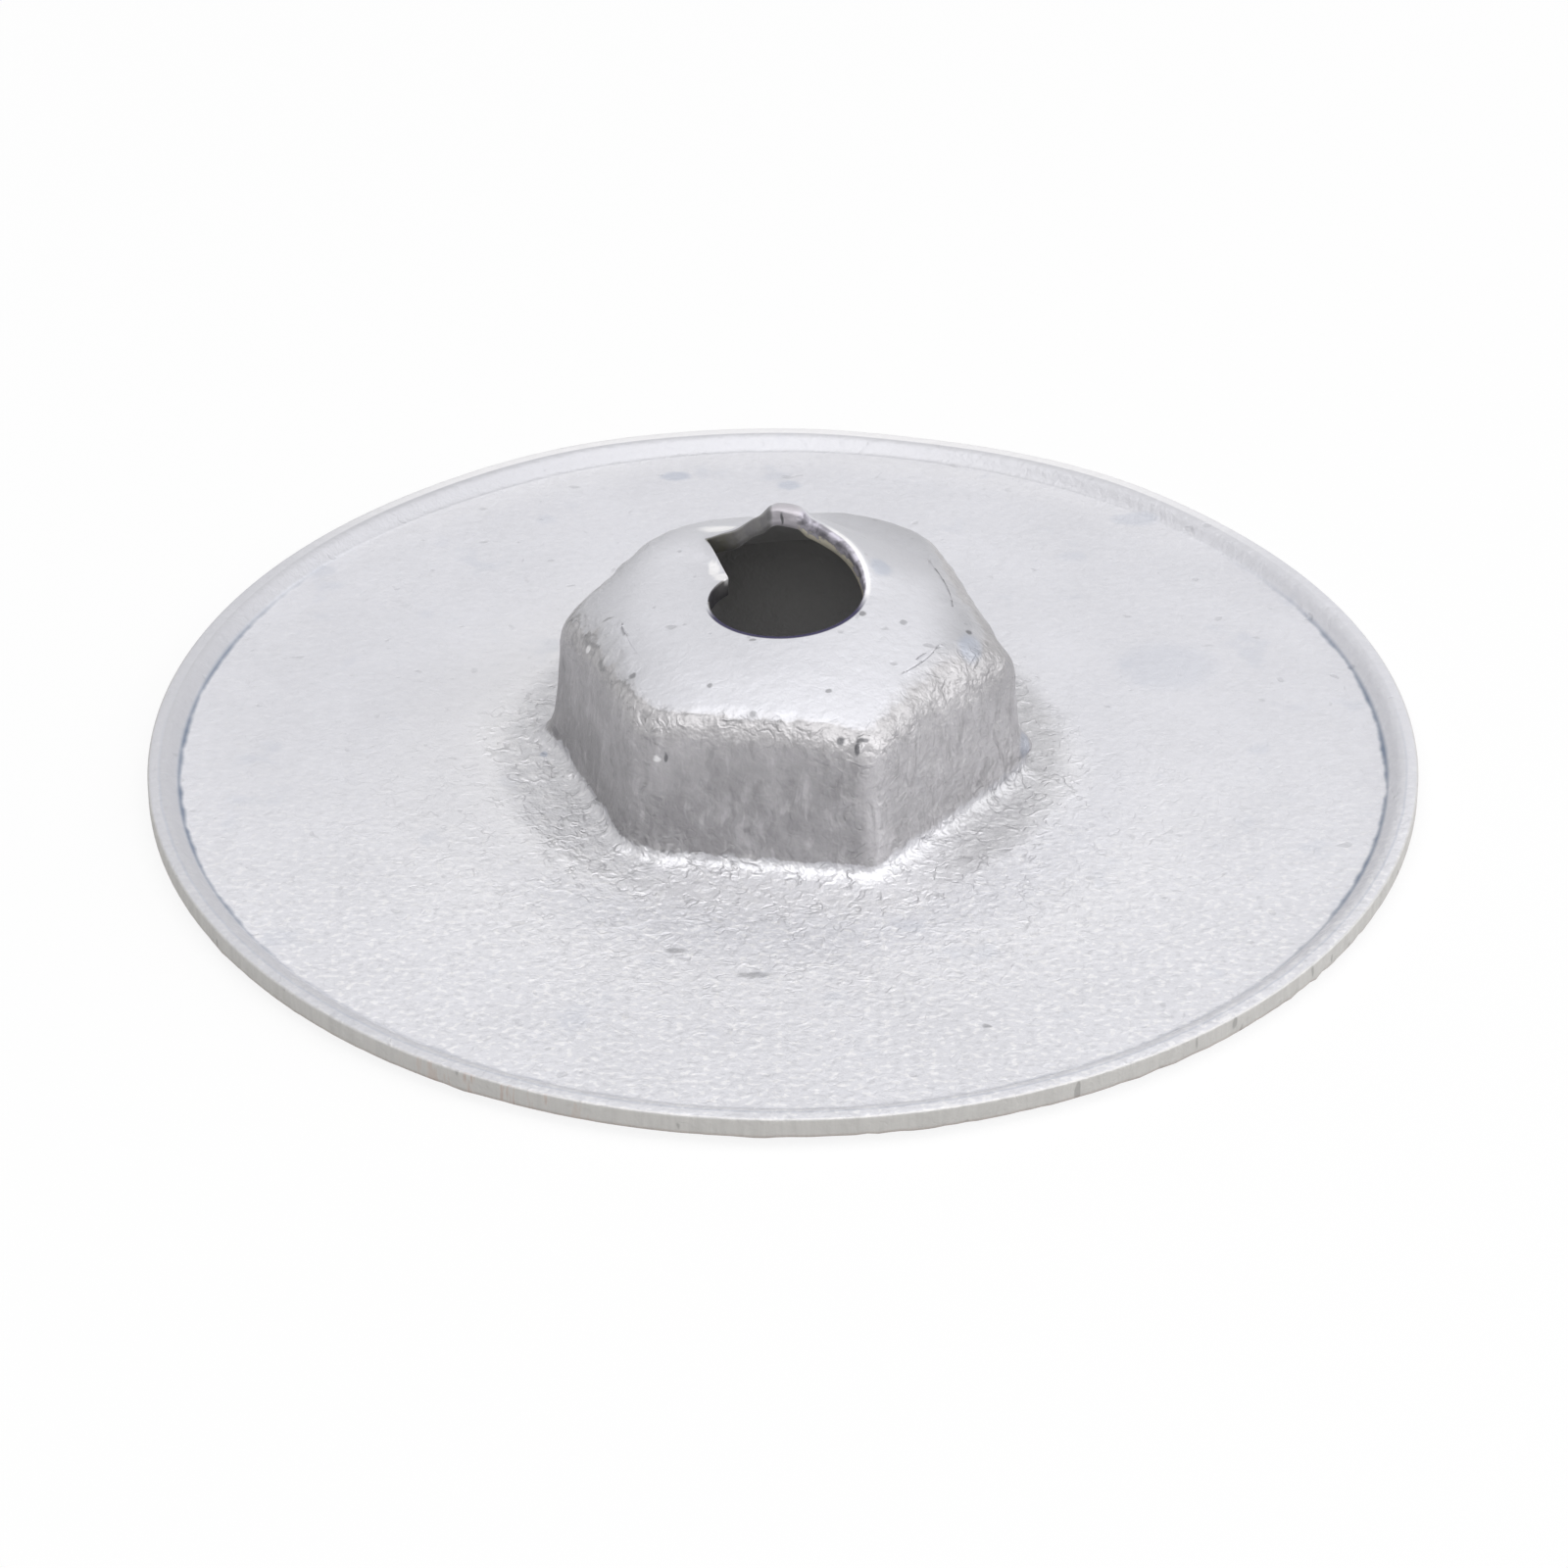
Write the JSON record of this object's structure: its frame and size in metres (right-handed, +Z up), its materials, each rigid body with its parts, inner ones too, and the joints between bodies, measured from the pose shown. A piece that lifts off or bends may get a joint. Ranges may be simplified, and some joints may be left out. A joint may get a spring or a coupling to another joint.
{
  "type": "clip nut",
  "caption": "round flanged push-on nut pressed from sheet steel, with a hexagonal hub and a helical lip that grips a threaded stud",
  "frame": {"origin": "centre of the flange's flat underside, on the axis of the hole", "axes": "+Z runs up the stud, from the flange through the crown of the hub; the notch in the lip lies towards -X and +Y"},
  "size_m": [0.03, 0.03, 0.0062],
  "materials": {
    "zinc_steel": "matte zinc plating on pressed sheet steel, finely pitted, with bare grey edges where the sheet was cut"
  },
  "bodies": {
    "root": {"clip_nut": "zinc_steel"}
  },
  "joints": []
}
